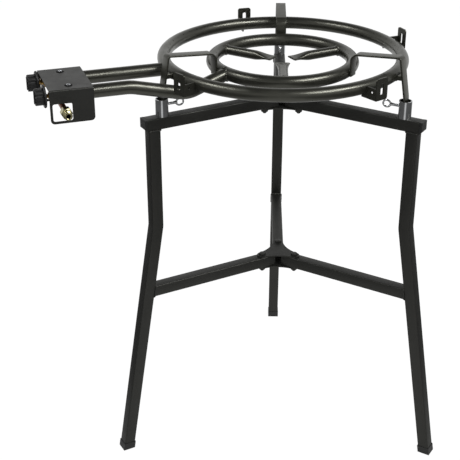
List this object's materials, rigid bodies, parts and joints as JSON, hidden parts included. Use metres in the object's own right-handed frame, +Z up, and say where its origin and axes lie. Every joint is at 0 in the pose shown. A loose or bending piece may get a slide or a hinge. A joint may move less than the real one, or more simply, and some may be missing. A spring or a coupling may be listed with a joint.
{
  "type": "paella burner",
  "caption": "Twin-ring gas burner with tap knobs, slotted tabs and bent pan supports, held in thumbscrew sockets on a splayed tripod stand of square tube.",
  "frame": {"origin": "on the tripod axis at floor level", "axes": "+Z up; +Y toward the rear leg; the other legs stand at 210 and 330 degrees from +X; the taps face about -X"},
  "size_m": [0.8725, 0.7065, 0.9182],
  "materials": {
    "stand_coat": "satin black powder coat",
    "plate_coat": "satin black powder coat",
    "cap_plastic": "moulded black plastic",
    "dark_fastener": "black oxide",
    "chrome": "polished",
    "ring_coat": "glossy black enamel",
    "bar_coat": "glossy black enamel",
    "bracket_coat": "glossy black enamel",
    "copper_pipe": "tarnished copper",
    "brass": "machined",
    "knob_plastic": "moulded black plastic",
    "cover_coat": "textured black powder coat",
    "zinc": "zinc plated"
  },
  "bodies": {
    "stand": {"arm_rear": "stand_coat", "arm_left": "stand_coat", "arm_right": "stand_coat", "leg_rear": "stand_coat", "leg_left": "stand_coat", "leg_right": "stand_coat", "brace_rear": "stand_coat", "brace_left": "stand_coat", "brace_right": "stand_coat", "arm_end_caps": "cap_plastic", "foot_cap_rear": "cap_plastic", "foot_cap_left": "cap_plastic", "foot_cap_right": "cap_plastic", "hub_plate_upper": "plate_coat", "hub_plate_lower": "plate_coat", "hub_bolts": "dark_fastener", "hub_nuts": "dark_fastener", "brace_plate_upper": "plate_coat", "brace_plate_lower": "plate_coat", "brace_bolts": "dark_fastener", "brace_nuts": "dark_fastener", "socket_rear": "chrome", "socket_left": "chrome", "socket_right": "chrome"},
    "burner": {"outer_ring": "ring_coat", "inner_ring": "ring_coat", "spoke_right": "ring_coat", "spoke_left": "ring_coat", "spoke_front": "ring_coat", "pan_support_rear": "bar_coat", "pan_support_left": "bar_coat", "pan_support_right": "bar_coat", "bracket_right": "bracket_coat", "bracket_rear": "bracket_coat", "bracket_left": "bracket_coat", "bracket_front": "bracket_coat", "outer_feed_pipe": "ring_coat", "inner_feed_pipe": "ring_coat", "outer_jet_bracket": "bracket_coat", "inner_jet_bracket": "bracket_coat", "outer_tap_body": "brass", "inner_tap_body": "brass", "outer_jet": "brass", "inner_jet": "brass", "manifold": "brass", "inlet_pipe": "copper_pipe", "inlet_fitting": "brass", "tap_cover": "cover_coat", "cover_screws": "zinc"},
    "thumbscrew_rear": {"thumbscrew_rear": "chrome"},
    "thumbscrew_left": {"thumbscrew_left": "chrome"},
    "thumbscrew_right": {"thumbscrew_right": "chrome"},
    "outer_tap_push": {"outer_thrust_washer": "zinc"},
    "inner_tap_push": {"inner_thrust_washer": "zinc"},
    "outer_tap_turn": {"outer_spindle": "brass", "outer_knob": "knob_plastic"},
    "inner_tap_turn": {"inner_spindle": "brass", "inner_knob": "knob_plastic"}
  },
  "joints": [
    {"name": "burner_lift", "type": "slide", "parent": "stand", "child": "burner", "axis": [0, 0, 1], "range_m": [0, 0.06]},
    {"name": "thumbscrew_rear_turn", "type": "hinge", "parent": "stand", "child": "thumbscrew_rear", "pos_m": [0, 0.27, 0.8155], "axis": [0, -1, 0], "range_deg": [0, 1080]},
    {"name": "thumbscrew_left_turn", "type": "hinge", "parent": "stand", "child": "thumbscrew_left", "pos_m": [-0.23383, -0.135, 0.8155], "axis": [0.866, 0.5, 0], "range_deg": [0, 1080]},
    {"name": "thumbscrew_right_turn", "type": "hinge", "parent": "stand", "child": "thumbscrew_right", "pos_m": [0.23383, -0.135, 0.8155], "axis": [-0.866, 0.5, 0], "range_deg": [0, 1080]},
    {"name": "outer_tap_push_in", "type": "slide", "parent": "burner", "child": "outer_tap_push", "axis": [0.9397, 0.342, 0], "range_m": [0, 0.003], "stiffness_N_per_m": 1500},
    {"name": "outer_knob_turn", "type": "hinge", "parent": "outer_tap_push", "child": "outer_tap_turn", "pos_m": [-0.483, -0.1758, 0.873], "axis": [-0.9397, -0.342, 0], "range_deg": [0, 180]},
    {"name": "inner_tap_push_in", "type": "slide", "parent": "burner", "child": "inner_tap_push", "axis": [0.9397, 0.342, 0], "range_m": [0, 0.003], "stiffness_N_per_m": 1500},
    {"name": "inner_knob_turn", "type": "hinge", "parent": "inner_tap_push", "child": "inner_tap_turn", "pos_m": [-0.45359, -0.25661, 0.873], "axis": [-0.9397, -0.342, 0], "range_deg": [0, 180]}
  ]
}
